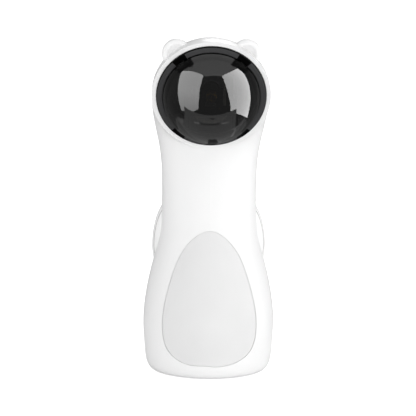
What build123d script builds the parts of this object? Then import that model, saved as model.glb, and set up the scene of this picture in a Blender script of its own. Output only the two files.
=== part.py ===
from build123d import *
import os
from math import acos, cos, hypot, pi, radians, sin, sqrt, tan

# Automatic cat laser toy: a bear-shaped standing casing with a smoked dome for a face.
# Millimetres. The origin is the centre of the foot pad on the table, +Z is up,
# the face looks along -Y and the toy's left ear, seen from the front, is at -X.

# ---- outer form ---------------------------------------------------------------------
table_gap = 0.6  # the casing hangs this far above the table, on its pad
edge_round = 4.5  # rounding of the casing's lower edge
flat_radius = 32.0  # flat underside inside that rounding
wall = 2.4
parting_y = 4.0  # the two shells meet in this plane

# height, front, back, half width of each level section
body_levels = [
    (14.0, -38.3, 38.4, 38.4),
    (30.0, -39.0, 39.4, 39.3),
    (48.0, -36.0, 38.6, 37.6),
    (66.0, -30.6, 36.4, 33.6),
    (82.0, -25.0, 34.0, 29.6),
    (98.0, -21.0, 32.4, 28.4),
    (112.0, -19.6, 31.9, 28.4),
]
# front point, back point and half width of each section that fans round the chin
head_sections = [
    ((-19.7, 120.0), (32.2, 131.0), 28.9),
    ((-20.1, 126.2), (32.3, 149.0), 30.5),
    ((-20.7, 130.6), (28.5, 169.6), 32.9),
    ((-21.2, 133.3), (16.0, 188.4), 34.5),
    ((-21.6, 135.4), (-7.0, 200.7), 35.0),
    ((-21.9, 136.5), (-28.5, 203.9), 35.0),
]
face_y = -34.0  # centre of the round face
face_z = 170.0
face_radius = 35.0
face_tilt = 20.0  # degrees that the face looks down

# ---- ears, arms and belly -----------------------------------------------------------
ear_x = 20.5
ear_y = -34.0
ear_z = 195.0
ear_radius = 8.6
ear_thickness = 7.0
ear_edge = 2.6
ear_dish_radius = 5.9
ear_dish_depth = 1.9

arm_x = 25.6
arm_y = 8.5
arm_z = 81.0
arm_half_width = 8.2
arm_half_depth = 9.0
arm_half_height = 22.0
arm_lean = 7.0  # degrees that the arm's top leans in

belly_half_width = 28.0
belly_top = 88.0
belly_widest = 30.0
belly_bottom = 9.0
belly_inset = 0.3  # the panel's face lies this far under the casing's
belly_thickness = 1.1
belly_gap = 0.15

# ---- face stack: seal, dome and bezel -----------------------------------------------
face_recess = 2.6
recess_radius = 32.5
ledge_back = 5.0  # back of the ledge that carries the dome
ledge_radius = 27.2
seal_thickness = 0.6
dome_radius = 28.3
dome_wall = 1.5
flange_radius = 31.9
flange_thickness = 1.4
bezel_radius = 32.4
bezel_proud = 1.3
bezel_edge = 0.9
bezel_dome_gap = 0.15

# ---- screws -------------------------------------------------------------------------
thread_radius = 1.2
head_radius = 2.2
head_height = 1.5
screw_clearance = 0.15
thread_clearance = 0.03
boss_radius = 3.0
fit_gap = 0.15

# ---- mechanism frame and gimbal, in the face's own frame ----------------------------
gimbal_depth = 4.0  # the laser turns about a point this far behind the face plane
frame_front = 9.0
frame_plate = 2.0
frame_radius = 29.2
frame_opening = 24.2
frame_screw_circle = 27.0
shelf_half_width = 15.5
shelf_thickness = 2.2
shelf_reach = 26.0  # the shelf runs this far back from the gimbal's centre
web_width = 3.0
nose_radius = 6.0

gear_module = 0.5
gear_width = 2.4
pan_gear_teeth = 36
pan_pinion_teeth = 12
tilt_gear_teeth = 28
tilt_pinion_teeth = 10
tilt_gear_width = 1.6
tooth_play = 0.08

yoke_inner = 9.0  # half the space between the yoke's arms
yoke_arm = 2.0
yoke_half_depth = 4.0
yoke_drop = 11.0  # the yoke's bar lies this far under the tilt axis
yoke_bar = 2.0
pivot_radius = 2.0
running_gap = 0.05
end_play = 0.3
clip_thickness = 0.9
clip_radius = 3.6

pan_motor_radius = 7.5
pan_motor_height = 10.0
pan_ear_offset = 10.0
pan_ear_radius = 2.3
pan_ear_thickness = 1.0
motor_shaft_radius = 0.75
shaft_hole_radius = 1.6
shaft_grip = 4.0

tilt_motor_radius = 5.0
tilt_motor_length = 7.5
motor_cup_wall = 1.2
motor_cup_depth = 2.0

sleeve_radius = 5.0
sleeve_back = 5.5
sleeve_front = 2.5
trunnion_radius = 1.5
trunnion_overhang = 0.6
shoulder_radius = 3.0
barrel_radius = 3.25
barrel_front = 7.2
barrel_back = 7.0
lens_radius = 2.3
lens_thickness = 1.2
lens_depth = 0.5

# ---- base and batteries -------------------------------------------------------------
base_opening = 26.0
plate_flange = 28.5
plate_thickness = 2.0
pad_radius = 23.5
pad_thickness = 1.2
cell_radius = 7.1
cell_length = 49.3
nub_radius = 2.7
nub_height = 1.2
cell_pitch = 14.6
spring_height = 2.6
spring_radius = 3.2
spring_wire = 0.35
contact_thickness = 0.4
contact_half_width = 4.5
bay_wall = 1.5
bay_front_y = 4.2
bay_side_play = 0.5
door_half_width = 22.4
door_bottom = 9.5
door_top = 60.5
door_corner = 6.0
door_gap = 0.3
door_rib = 1.6
door_tab_width = 5.0
door_tab_x = 11.0
notch_radius = 7.0
base_screw_x = 17.0

# ---- control board and what a hand or lead reaches on the back ----------------------
board_half_width = 15.0
board_bottom = 76.0
board_top = 128.0
board_thickness = 1.6
board_standoff = 7.0  # space between the board and the casing's back at the button
board_screw_inset = 2.6
button_z = 108.0
button_radius = 6.0
button_proud = 1.0
button_travel = 0.8
button_flange = 1.4
button_flange_thickness = 0.9
button_gap = 0.25
switch_half = 3.0
switch_height = 3.4
plunger_radius = 1.7
light_z = 96.0
light_radius = 1.5
led_height = 1.5
usb_z = 84.0
usb_half_width = 4.47
usb_half_height = 1.63
usb_shell = 0.3
usb_gap = 0.3
case_screws = [(30.0, 22.0), (20.0, 102.0)]  # x and z, once on each side
tongue_thickness = 1.0
tongue_reach = 2.5

far = 150.0  # longer than the toy is deep, for cutting tools
arc_pull = 4 / 3 * tan(pi / 8)  # handle length that makes a Bezier curve a quarter circle

face_plane = Plane(
    origin=(0, face_y, face_z),
    x_dir=(1, 0, 0),
    z_dir=(0, -cos(radians(face_tilt)), -sin(radians(face_tilt))),
)
gimbal_plane = face_plane.offset(-gimbal_depth)

low = (Align.CENTER, Align.CENTER, Align.MIN)


# ---- small shapes -------------------------------------------------------------------
def disc(radius, bottom, top):
    return Pos(0, 0, bottom) * Cylinder(radius, top - bottom, align=low)


def ring(outside, inside, bottom, top):
    return disc(outside, bottom, top) - disc(inside, bottom - 1, top + 1)


def rod_x(radius, start, end, y=0.0, z=0.0):
    return Pos((start + end) / 2, y, z) * Rot(0, 90, 0) * Cylinder(radius, end - start)


def rod_y(radius, start, end, x=0.0, z=0.0):
    return Pos(x, (start + end) / 2, z) * Rot(90, 0, 0) * Cylinder(radius, end - start)


def block(x, y, z):
    """Box between the two values given for each direction."""
    corner = Pos((x[0] + x[1]) / 2, (y[0] + y[1]) / 2, (z[0] + z[1]) / 2)
    return corner * Box(x[1] - x[0], y[1] - y[0], z[1] - z[0])


def both_sides(shape):
    return shape + mirror(shape, about=Plane.YZ)


# ---- outer form ---------------------------------------------------------------------
def oval(plane, half_width, half_length):
    """Ellipse of four quarter curves, so that every section starts at the same place."""
    width, length = half_width, half_length
    pull_x, pull_y = arc_pull * width, arc_pull * length
    quarters = [
        Bezier((0, -length), (pull_x, -length), (width, -pull_y), (width, 0)),
        Bezier((width, 0), (width, pull_y), (pull_x, length), (0, length)),
        Bezier((0, length), (-pull_x, length), (-width, pull_y), (-width, 0)),
        Bezier((-width, 0), (-width, -pull_y), (-pull_x, -length), (0, -length)),
    ]
    return plane * make_face(quarters)


def section(front, back, half_width, inset):
    """Oval through a front and a back point of the side view, drawn in by inset."""
    run_y, run_z = back[0] - front[0], back[1] - front[1]
    length = hypot(run_y, run_z)
    plane = Plane(
        origin=(0, (front[0] + back[0]) / 2, (front[1] + back[1]) / 2),
        x_dir=(1, 0, 0),
        z_dir=(0, -run_z / length, run_y / length),
    )
    return oval(plane, half_width - inset, length / 2 - inset)


def form(inset=0.0):
    """The casing's outer form, with every surface drawn in by inset except the face."""
    sections = []
    corner = edge_round - inset
    for angle in (0, radians(45)):
        height = table_gap + edge_round - corner * cos(angle)
        reach = flat_radius + inset + corner * sin(angle)
        sections.append(section((-reach, height), (reach, height), reach, inset))
    for height, front, back, half_width in body_levels:
        sections.append(section((front, height), (back, height), half_width, inset))
    for front, back, half_width in head_sections:
        sections.append(section(front, back, half_width, inset))
    drop = face_radius * cos(radians(face_tilt))
    lean = face_radius * sin(radians(face_tilt))
    chin = (face_y + lean, face_z - drop)
    brow = (face_y - lean, face_z + drop)
    sections.append(section(chin, brow, face_radius, inset))
    return loft(sections)


def back_at(height):
    """Outermost Y of the casing's back at a height among the level sections."""
    for lower, upper in zip(body_levels, body_levels[1:]):
        if lower[0] <= height <= upper[0]:
            share = (height - lower[0]) / (upper[0] - lower[0])
            return lower[2] + share * (upper[2] - lower[2])
    return body_levels[-1][2]


def ear():
    """Round ear with a soft rim and a dish in front."""
    body = rod_y(ear_radius, ear_y - ear_thickness / 2, ear_y + ear_thickness / 2)
    body = fillet(body.edges().filter_by(GeomType.CIRCLE), ear_edge)
    ball = (ear_dish_radius**2 + ear_dish_depth**2) / (2 * ear_dish_depth)
    dish = Pos(0, ear_y - ear_thickness / 2 - ball + ear_dish_depth, 0) * Sphere(ball)
    return Pos(ear_x, 0, ear_z) * (body - dish)


def arm():
    """Flipper that stands out of the side as half of a long egg."""
    egg = scale(Sphere(1), (arm_half_width, arm_half_depth, arm_half_height))
    return Pos(arm_x, arm_y, arm_z) * Rot(0, -arm_lean, 0) * egg


def belly_outline(gap=0.0):
    """Egg outline of the belly, drawn in by gap."""
    middle = belly_widest
    rise = belly_top - gap - middle
    fall = middle - belly_bottom - gap
    width = belly_half_width - gap
    right = [
        (0, middle - fall),
        (0.38 * width, middle - 0.985 * fall),
        (0.87 * width, middle - 0.63 * fall),
        (width, middle),
        (0.82 * width, middle + 0.51 * rise),
        (0.5 * width, middle + 0.84 * rise),
        (0, middle + rise),
    ]
    left = [(-x, z) for x, z in reversed(right[1:-1])]
    return make_face(Spline(*right, *left, periodic=True))


def belly_prism(gap=0.0):
    return extrude(Plane.XZ * belly_outline(gap), far)


# ---- casing -------------------------------------------------------------------------
behind_parting = Pos(0, parting_y, face_z / 2) * Box(
    far, far, 2 * face_z, align=(Align.CENTER, Align.MIN, Align.CENTER)
)
ahead_of_ledge = face_plane * Pos(0, 0, -ledge_back) * Box(far, far, far, align=low)
outer = form()
cavity = form(wall) - ahead_of_ledge
half_wall = form(wall / 2)
screw_places = [(side * x, z) for x, z in case_screws for side in (-1, 1)]
screw_seat_y = parting_y + 6.0  # a case screw's head sits here, down its well in the back
board_y = back_at(button_z) - wall - board_standoff  # back face of the board
board_holes = [
    (side * (board_half_width - board_screw_inset), z)
    for side in (-1, 1)
    for z in (board_bottom + board_screw_inset, board_top - board_screw_inset)
]


def casing():
    """Both shells in one: the hollow form with ears and arms, open at face and foot."""
    body = outer + both_sides(ear()) + both_sides(arm())
    body -= cavity
    body -= face_plane * disc(ledge_radius, -ledge_back - 1, far)
    body -= face_plane * disc(recess_radius, -face_recess, far)
    body -= disc(base_opening, -1, table_gap + wall + 1)
    return body


def frame_boss_places():
    for angle in (45, 135, 225, 315):
        turn = radians(angle)
        yield Pos(frame_screw_circle * cos(turn), frame_screw_circle * sin(turn), 0)


def front_shell(body):
    shell = body - behind_parting
    sunk = form(belly_inset + belly_thickness + belly_gap)
    shell -= belly_prism() - sunk
    for x, z in screw_places:
        boss = rod_y(boss_radius, -far / 2, parting_y, x, z) & half_wall
        shell += boss
        shell -= rod_y(thread_radius + thread_clearance, parting_y - 9, parting_y + 1, x, z)
    for place in frame_boss_places():
        boss = place * disc(boss_radius, -frame_front, -ledge_back + 1.0)
        hole = place * disc(thread_radius + thread_clearance, -frame_front - 1, -ledge_back + 0.2)
        shell += face_plane * boss
        shell -= face_plane * hole
    return shell


def tongue():
    """Lip inside the parting line that lines the two shells up."""
    inside = form(wall + tongue_thickness)
    low_cut = 2 * edge_round
    reach = block((-far, far), (parting_y - tongue_reach, parting_y), (low_cut, far * 2))
    root = block((-far, far), (parting_y, parting_y + tongue_reach), (low_cut, far * 2))
    lip = (form(wall + fit_gap) - inside) & reach
    hold = (half_wall - inside) & root
    return lip + hold


def rear_shell(body):
    shell = body & behind_parting
    shell += tongue()
    for x, z in screw_places:
        shell += rod_y(boss_radius, parting_y, far / 2, x, z) & half_wall
        shell -= rod_y(thread_radius + screw_clearance, parting_y - 1, far, x, z)
        shell -= rod_y(head_radius + screw_clearance, screw_seat_y, far, x, z)
    for x, z in board_holes:
        shell += rod_y(boss_radius, board_y, far / 2, x, z) & half_wall
        shell -= rod_y(thread_radius + thread_clearance, board_y - 1, board_y + 5, x, z)
    shell -= door_prism(0.0)
    shell -= rod_y(button_radius + button_gap, board_y + 1, far, 0, button_z)
    shell -= rod_y(light_radius + fit_gap, board_y + 1, far, 0, light_z)
    shell -= usb_outline(usb_gap, board_y + 1, far)
    return shell


def belly_panel():
    return (belly_prism(belly_gap) & form(belly_inset)) - form(belly_inset + belly_thickness)


def case_screw_set():
    screws = []
    for x, z in screw_places:
        head = rod_y(head_radius, screw_seat_y, screw_seat_y + head_height, x, z)
        shank = rod_y(thread_radius, parting_y - 8, screw_seat_y, x, z)
        slot = rod_y(0.8, screw_seat_y + 0.5, screw_seat_y + head_height + 1, x, z)
        screws.append(head + shank - slot)
    return Compound(screws)


# ---- face stack ---------------------------------------------------------------------
flange_bottom = -face_recess + seal_thickness
flange_top = flange_bottom + flange_thickness


def dome_seal():
    return face_plane * ring(flange_radius, ledge_radius + 0.5, -face_recess, flange_bottom)


def dome_lens():
    """Smoked half ball on a short neck with a flange."""
    above = disc(dome_radius + 1, 0, dome_radius + 1)
    shape = (Sphere(dome_radius) & above) + disc(dome_radius, flange_bottom, 0)
    shape += disc(flange_radius, flange_bottom, flange_top)
    inner = dome_radius - dome_wall
    shape -= (Sphere(inner) & above) + disc(inner, flange_bottom - 1, 0)
    return face_plane * shape


def bezel_ring():
    shape = ring(bezel_radius, dome_radius + bezel_dome_gap, flange_top, bezel_proud)
    rims = shape.faces().sort_by(Axis.Z)[-1].edges()
    return face_plane * fillet(rims, bezel_edge)


# ---- gears --------------------------------------------------------------------------
def gear(teeth, width, bore, phase):
    """Spur gear with involute flanks. A tooth points in the direction phase, in degrees."""
    pressure = radians(20)
    pitch = gear_module * teeth / 2
    base = pitch * cos(pressure)
    tip = pitch + 0.85 * gear_module
    foot = pitch - 1.15 * gear_module
    half_tooth = pi / (2 * teeth) - tooth_play / (2 * pitch)

    def half_angle(radius):
        lean = acos(min(1.0, base / radius))
        return half_tooth + (tan(pressure) - pressure) - (tan(lean) - lean)

    start = max(base, foot)
    flank = [start + (tip - start) * step / 3 for step in range(4)]
    outline = []
    for tooth in range(teeth):
        middle = radians(phase) + 2 * pi * tooth / teeth
        left = [(foot, half_angle(start))] + [(r, half_angle(r)) for r in flank]
        for radius, angle in left:
            outline.append((radius * cos(middle - angle), radius * sin(middle - angle)))
        for radius, angle in reversed(left):
            outline.append((radius * cos(middle + angle), radius * sin(middle + angle)))
    face = make_face(Polyline(*outline, close=True))
    return extrude(face, width) - disc(bore, -1, width + 1)


def on_y(shape, start):
    """Turns a gear's axis from Z to the gimbal's Y."""
    return Plane(origin=(0, start, 0), x_dir=(1, 0, 0), z_dir=(0, 1, 0)) * shape


def on_x(shape, start):
    """Turns a gear's axis from Z to the gimbal's X."""
    return Plane(origin=(start, 0, 0), x_dir=(0, 1, 0), z_dir=(1, 0, 0)) * shape


# ---- gimbal: sizes that follow from those above -------------------------------------
pan_distance = gear_module * (pan_gear_teeth + pan_pinion_teeth) / 2
tilt_distance = gear_module * (tilt_gear_teeth + tilt_pinion_teeth) / 2
yoke_outer = yoke_inner + yoke_arm
bar_bottom = -yoke_drop - yoke_bar
pan_gear_bottom = bar_bottom - gear_width
shelf_top = pan_gear_bottom - end_play
shelf_bottom = shelf_top - shelf_thickness
clip_top = shelf_bottom - end_play
pivot_end = clip_top - clip_thickness - 0.8
tilt_gear_start = yoke_inner - 0.5 - tilt_gear_width
frame_z = -(frame_front - gimbal_depth)  # front face of the frame, from the gimbal's centre


def mechanism_frame():
    """Ring that screws to the casing, with a shelf that carries the pan motor and pivot."""
    back = frame_z - frame_plate
    shape = ring(frame_radius, frame_opening, back, frame_z)
    motor_bay = shelf_half_width - web_width
    shape -= block((-motor_bay, motor_bay), (-far, 0), (back - 1, frame_z + 1))
    shelf = block(
        (-shelf_half_width, shelf_half_width), (shelf_bottom, shelf_top), (-shelf_reach, frame_z)
    )
    nose = block((-nose_radius, nose_radius), (shelf_bottom, shelf_top), (frame_z, 0))
    shape += shelf + nose + rod_y(nose_radius, shelf_bottom, shelf_top)
    ring_inside = -sqrt(frame_opening**2 - shelf_half_width**2) - 1
    for side in (-1, 1):
        edges = sorted((side * shelf_half_width, side * (shelf_half_width - web_width)))
        shape += block(edges, (ring_inside, shelf_top), (back - 6, frame_z))
        ear_hole = (shelf_bottom - 1, shelf_top - 0.4, side * pan_ear_offset, -pan_distance)
        shape -= rod_y(thread_radius + thread_clearance, *ear_hole)
    shape -= rod_y(pivot_radius + running_gap, shelf_bottom - 1, shelf_top + 1)
    shape -= rod_y(shaft_hole_radius, shelf_bottom - 1, shelf_top + 1, 0, -pan_distance)
    for place in frame_boss_places():
        shape -= place * disc(thread_radius + screw_clearance, back - 1, frame_z + 1)
    return gimbal_plane * shape


def frame_screw_set():
    screws = []
    back = -frame_front - frame_plate
    for place in frame_boss_places():
        head = disc(head_radius, back - head_height, back)
        shank = disc(thread_radius, back, -ledge_back)
        slot = disc(0.8, back - head_height - 1, back - 0.5)
        screws.append(face_plane * (place * (head + shank - slot)))
    return Compound(screws)


def pan_yoke():
    """Fork that swings left and right on its pivot and carries the tilting laser."""
    arms = block((yoke_inner, yoke_outer), (bar_bottom, 0), (-yoke_half_depth, yoke_half_depth))
    arms += rod_x(yoke_half_depth, yoke_inner, yoke_outer)
    shape = both_sides(arms)
    shape += block(
        (-yoke_outer, yoke_outer), (bar_bottom, -yoke_drop), (-yoke_half_depth, yoke_half_depth)
    )
    cup_radius = tilt_motor_radius + fit_gap + motor_cup_wall
    shape += rod_x(cup_radius, yoke_inner, yoke_outer, 0, -tilt_distance)
    shape += block((yoke_inner, yoke_outer), (-yoke_half_depth, yoke_half_depth), (-tilt_distance, 0))
    cup = rod_x(cup_radius, yoke_outer, yoke_outer + motor_cup_depth, 0, -tilt_distance)
    cup -= rod_x(tilt_motor_radius + fit_gap, yoke_outer - 1, far, 0, -tilt_distance)
    cup -= rod_x(trunnion_radius + 2 * end_play, yoke_outer - 1, far)
    shape += cup
    shape -= rod_x(trunnion_radius + running_gap, -far, far)
    shape -= rod_x(shaft_hole_radius, 0, yoke_outer + 0.5, 0, -tilt_distance)
    shape += rod_y(pivot_radius, pivot_end, bar_bottom)
    return gimbal_plane * shape


def pivot_clip():
    shape = rod_y(clip_radius, clip_top - clip_thickness, clip_top)
    shape -= rod_y(pivot_radius + thread_clearance, pivot_end - 1, clip_top + 1)
    return gimbal_plane * shape


def pan_gear():
    shape = gear(pan_gear_teeth, gear_width, pivot_radius + thread_clearance, 90)
    return gimbal_plane * on_y(shape, pan_gear_bottom)


def pan_pinion():
    phase = -90 + 180 / pan_pinion_teeth
    shape = gear(pan_pinion_teeth, gear_width - 0.2, motor_shaft_radius + thread_clearance, phase)
    return gimbal_plane * Pos(0, 0, -pan_distance) * on_y(shape, pan_gear_bottom)


def pan_motor():
    top = shelf_bottom
    shape = rod_y(pan_motor_radius, top - pan_motor_height, top)
    for side in (-1, 1):
        reach = block((0, pan_ear_offset), (top - pan_ear_thickness, top), (-pan_ear_radius, pan_ear_radius))
        lug = reach + rod_y(pan_ear_radius, top - pan_ear_thickness, top, pan_ear_offset)
        lug -= rod_y(thread_radius + screw_clearance, top - far, top + 1, pan_ear_offset)
        shape += lug if side > 0 else mirror(lug, about=Plane.YZ)
    shape -= rod_y(motor_shaft_radius + running_gap, top - shaft_grip - 0.3, top + 1)
    return gimbal_plane * Pos(0, 0, -pan_distance) * shape


def pan_shaft():
    shape = rod_y(motor_shaft_radius, shelf_bottom - shaft_grip, pan_gear_bottom + gear_width - 0.2)
    return gimbal_plane * Pos(0, 0, -pan_distance) * shape


def motor_screw_set():
    screws = []
    seat = shelf_bottom - pan_ear_thickness
    for side in (-1, 1):
        x = side * pan_ear_offset
        head = rod_y(head_radius, seat - head_height, seat, x, -pan_distance)
        shank = rod_y(thread_radius, seat, shelf_top - 0.6, x, -pan_distance)
        slot = rod_y(0.8, seat - head_height - 1, seat - 0.5, x, -pan_distance)
        screws.append(gimbal_plane * (head + shank - slot))
    return Compound(screws)


def tilt_motor():
    shape = rod_x(tilt_motor_radius, yoke_outer, yoke_outer + tilt_motor_length)
    shape = fillet(shape.edges().sort_by(Axis.X)[-1], 0.8)
    shape -= rod_x(motor_shaft_radius + running_gap, yoke_outer - 1, yoke_outer + shaft_grip + 0.3)
    return gimbal_plane * Pos(0, 0, -tilt_distance) * shape


def tilt_shaft():
    shape = rod_x(motor_shaft_radius, tilt_gear_start, yoke_outer + shaft_grip)
    return gimbal_plane * Pos(0, 0, -tilt_distance) * shape


def tilt_pinion():
    phase = 90 + 180 / tilt_pinion_teeth
    shape = gear(tilt_pinion_teeth, tilt_gear_width, motor_shaft_radius + thread_clearance, phase)
    return gimbal_plane * Pos(0, 0, -tilt_distance) * on_x(shape, tilt_gear_start)


def tilt_gear():
    shape = gear(tilt_gear_teeth, tilt_gear_width, shoulder_radius + thread_clearance, -90)
    return gimbal_plane * on_x(shape, tilt_gear_start)


def laser_cradle():
    """Sleeve with trunnions that nods between the yoke's arms."""
    shape = disc(sleeve_radius, -sleeve_back, sleeve_front)
    shape += rod_x(shoulder_radius, -yoke_inner + end_play, yoke_inner - end_play)
    reach = yoke_outer + trunnion_overhang
    shape += rod_x(trunnion_radius, -reach, reach)
    shape -= disc(barrel_radius + thread_clearance, -far / 2, far / 2)
    return gimbal_plane * shape


def laser_barrel():
    shape = disc(barrel_radius, -barrel_back, barrel_front)
    shape = chamfer(shape.faces().sort_by(Axis.Z)[-1].edges(), 0.4)
    shape -= disc(lens_radius + thread_clearance, barrel_front - lens_depth - lens_thickness, far)
    shape -= disc(lens_radius - 0.7, -barrel_back + 3, far)
    for groove in (-4.0, 4.4, 5.4):
        shape -= ring(barrel_radius + 1, barrel_radius - 0.25, groove, groove + 0.5)
    return gimbal_plane * shape


def laser_lens():
    back = barrel_front - lens_depth - lens_thickness
    return gimbal_plane * disc(lens_radius, back, back + lens_thickness)


def laser_board():
    shape = disc(barrel_radius - 0.2, -barrel_back - 0.8, -barrel_back)
    return gimbal_plane * shape


# ---- base and batteries -------------------------------------------------------------
plate_bottom = table_gap + wall + 0.1
plate_top = plate_bottom + plate_thickness
bay_half_width = 1.5 * cell_pitch + bay_side_play + bay_wall
bay_floor = plate_top + bay_wall
bay_height = 2 * contact_thickness + cell_length + nub_height + spring_height + 0.1
bay_ceiling = bay_floor + bay_height
cell_y = bay_front_y + bay_wall + end_play + cell_radius
bay_back_y = cell_y + cell_radius + 1.7
base_screw_y = bay_front_y - boss_radius / 2
base_screw_places = [(-base_screw_x, base_screw_y), (base_screw_x, base_screw_y)]


def foot_pad():
    shape = disc(pad_radius, 0, pad_thickness)
    return fillet(shape.edges().sort_by(Axis.Z)[0], 0.4)


def base_plate():
    """Foot that the shells trap by its flange, with a recess for the pad."""
    shape = disc(plate_flange, plate_bottom, plate_top)
    shape += disc(base_opening - fit_gap, table_gap, plate_bottom)
    shape -= disc(pad_radius + fit_gap, -1, pad_thickness)
    for x, y in base_screw_places:
        shape -= Pos(x, y, 0) * disc(thread_radius + screw_clearance, -1, plate_top + 1)
        shape -= Pos(x, y, 0) * disc(head_radius + screw_clearance, -1, pad_thickness + head_height)
    return shape


def base_screw_set():
    screws = []
    seat = pad_thickness + head_height
    for x, y in base_screw_places:
        head = disc(head_radius, pad_thickness + 0.1, seat)
        shank = disc(thread_radius, seat, plate_top + 5)
        slot = disc(0.8, pad_thickness, pad_thickness + 0.8)
        screws.append(Pos(x, y, 0) * (head + shank - slot))
    return Compound(screws)


def battery_bay():
    """Tray for three cells side by side, open to the back."""
    side = (-bay_half_width, bay_half_width)
    shape = block(side, (bay_front_y, bay_back_y), (plate_top, bay_ceiling + bay_wall))
    inside = bay_half_width - bay_wall
    shape -= block((-inside, inside), (bay_front_y + bay_wall, far), (bay_floor, bay_ceiling))
    for x in (-cell_pitch / 2, cell_pitch / 2):
        shape += block((x - 0.6, x + 0.6), (bay_front_y, bay_front_y + 3.2), (bay_floor, bay_ceiling))
    for x, y in base_screw_places:
        boss = Pos(x, y, 0) * disc(boss_radius, plate_top, plate_top + 9)
        shape += boss - block(side, (bay_front_y + bay_wall, far), (0, far))
        shape -= Pos(x, y, 0) * disc(thread_radius + thread_clearance, plate_top - 1, plate_top + 5.5)
    return shape


def cell_places():
    """x and whether the plus end is up, for each cell."""
    for number in (-1, 0, 1):
        yield number * cell_pitch, number != 0


def battery_cells():
    cells = []
    for x, plus_up in cell_places():
        start = bay_floor + contact_thickness + (spring_height + 0.05 if plus_up else nub_height)
        can = disc(cell_radius, start, start + cell_length)
        can = fillet(can.edges().filter_by(GeomType.CIRCLE), 0.5)
        nub_from = start + cell_length if plus_up else start - nub_height
        cells.append(Pos(x, cell_y, 0) * (can + disc(nub_radius, nub_from, nub_from + nub_height)))
    return Compound(cells)


def battery_springs():
    """One coned spring under the minus end of each cell."""
    springs = []
    for x, plus_up in cell_places():
        rise = spring_height - 2 * spring_wire
        path = Helix(pitch=rise / 2.5, height=rise, radius=spring_radius, cone_angle=-18)
        start = path @ 0
        profile = Plane(origin=start, z_dir=path % 0) * Circle(spring_wire)
        coil = sweep(profile, path=path, is_frenet=True)
        height = bay_floor + contact_thickness + spring_wire
        place = Pos(x, cell_y, height)
        if not plus_up:
            height = bay_ceiling - contact_thickness - spring_wire
            place = Pos(x, cell_y, height) * Rot(180, 0, 0)
        springs.append(place * coil)
    return Compound(springs)


def battery_contacts():
    """Plates at both ends, joined in pairs so that the cells stand in series."""
    plates = []
    half = contact_half_width
    back = bay_front_y + bay_wall
    lower = (bay_floor, bay_floor + contact_thickness)
    upper = (bay_ceiling - contact_thickness, bay_ceiling)
    spans = [(-cell_pitch, 0, lower), (cell_pitch, cell_pitch, lower)]
    spans += [(-cell_pitch, -cell_pitch, upper), (0, cell_pitch, upper)]
    for first, last, height in spans:
        plates.append(block((first - half, last + half), (back + 3.3, cell_y + half), height))
    return Compound(plates)


def door_prism(gap):
    """Rounded window in the back, drawn in by gap."""
    width = 2 * (door_half_width - gap)
    height = door_top - door_bottom - 2 * gap
    outline = RectangleRounded(width, height, door_corner - gap)
    plane = Plane(origin=(0, bay_back_y, (door_top + door_bottom) / 2), x_dir=(-1, 0, 0), z_dir=(0, 1, 0))
    return extrude(plane * outline, far)


# the tabs hook behind the lower edge of the window, clear of the rounding inside
tab_face_y = sqrt(flat_radius**2 - (door_tab_x + door_tab_width / 2) ** 2) + 1.2


def battery_door():
    """Window's cover: a piece of the back with ribs that hold the cells and tabs below."""
    inner = form(wall)
    shape = (outer - inner) & door_prism(door_gap)
    for x in (-cell_pitch / 2, cell_pitch / 2):
        rib = block(
            (x - door_rib / 2, x + door_rib / 2),
            (cell_y + cell_radius + 0.6, far),
            (door_bottom + 6, door_top - 6),
        )
        shape += rib & half_wall
    for x in (-door_tab_x, door_tab_x):
        span = (x - door_tab_width / 2, x + door_tab_width / 2)
        shape += block(span, (tab_face_y - 1.5, far), (door_bottom + 1.2, door_bottom + 4)) & half_wall
        shape += block(span, (tab_face_y - 1.5, tab_face_y), (door_bottom - 3.2, door_bottom + 4))
    notch = Pos(0, back_at(door_top) + notch_radius - 1.2, door_top - 4) * Sphere(notch_radius)
    shape -= notch
    return shape


# ---- control board ------------------------------------------------------------------
def main_board():
    shape = block(
        (-board_half_width, board_half_width),
        (board_y - board_thickness, board_y),
        (board_bottom, board_top),
    )
    shape = fillet(shape.edges().filter_by(Axis.Y), 1.5)
    for x, z in board_holes:
        shape -= rod_y(thread_radius + screw_clearance, board_y - 5, board_y + 1, x, z)
    return shape


def board_screw_set():
    screws = []
    seat = board_y - board_thickness
    for x, z in board_holes:
        head = rod_y(head_radius, seat - head_height, seat, x, z)
        shank = rod_y(thread_radius, seat, board_y + 4, x, z)
        slot = rod_y(0.8, seat - head_height - 1, seat - 0.5, x, z)
        screws.append(head + shank - slot)
    return Compound(screws)


def control_chip():
    """Controller in a flat package with eight legs a side, on the board's front."""
    face = board_y - board_thickness
    shape = block((-2, 2), (face - 1.7, face - 0.15), (button_z - 5, button_z + 5))
    for row in range(8):
        z = button_z - 4.445 + 1.27 * row
        shape += block((-3.1, 3.1), (face - 0.4, face), (z - 0.2, z + 0.2))
    return shape


def board_parts():
    """Capacitors, a coil and the three plugs for battery, motors and laser."""
    face = board_y - board_thickness
    parts = []
    for z in (usb_z, usb_z + 7):
        parts.append(rod_y(2.5, face - 6, face, -9, z))
    parts.append(rod_y(3.0, face - 3, face, -9, usb_z + 15))
    for z in (usb_z - 2, usb_z + 8, button_z + 6):
        parts.append(block((6.5, 12.5), (face - 5, face), (z, z + 7)))
    return Compound(parts)


def usb_outline(gap, start, end):
    """Flat oval of the socket's mouth, grown by gap, as a bar along Y."""
    height = 2 * (usb_half_height + gap)
    width = 2 * (usb_half_width + gap)
    outline = SlotOverall(width, height)
    plane = Plane(origin=(0, start, usb_z), x_dir=(-1, 0, 0), z_dir=(0, 1, 0))
    return extrude(plane * outline, end - start)


def usb_socket():
    """Upright socket with its tongue inside, a little under the casing's surface."""
    mouth = back_at(usb_z) - 0.8
    shape = usb_outline(0.0, board_y, mouth)
    shape -= usb_outline(-usb_shell, board_y + 1.5, far)
    shape += block((-3.3, 3.3), (board_y + 1, mouth - 0.6), (usb_z - 0.35, usb_z + 0.35))
    return shape


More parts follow.
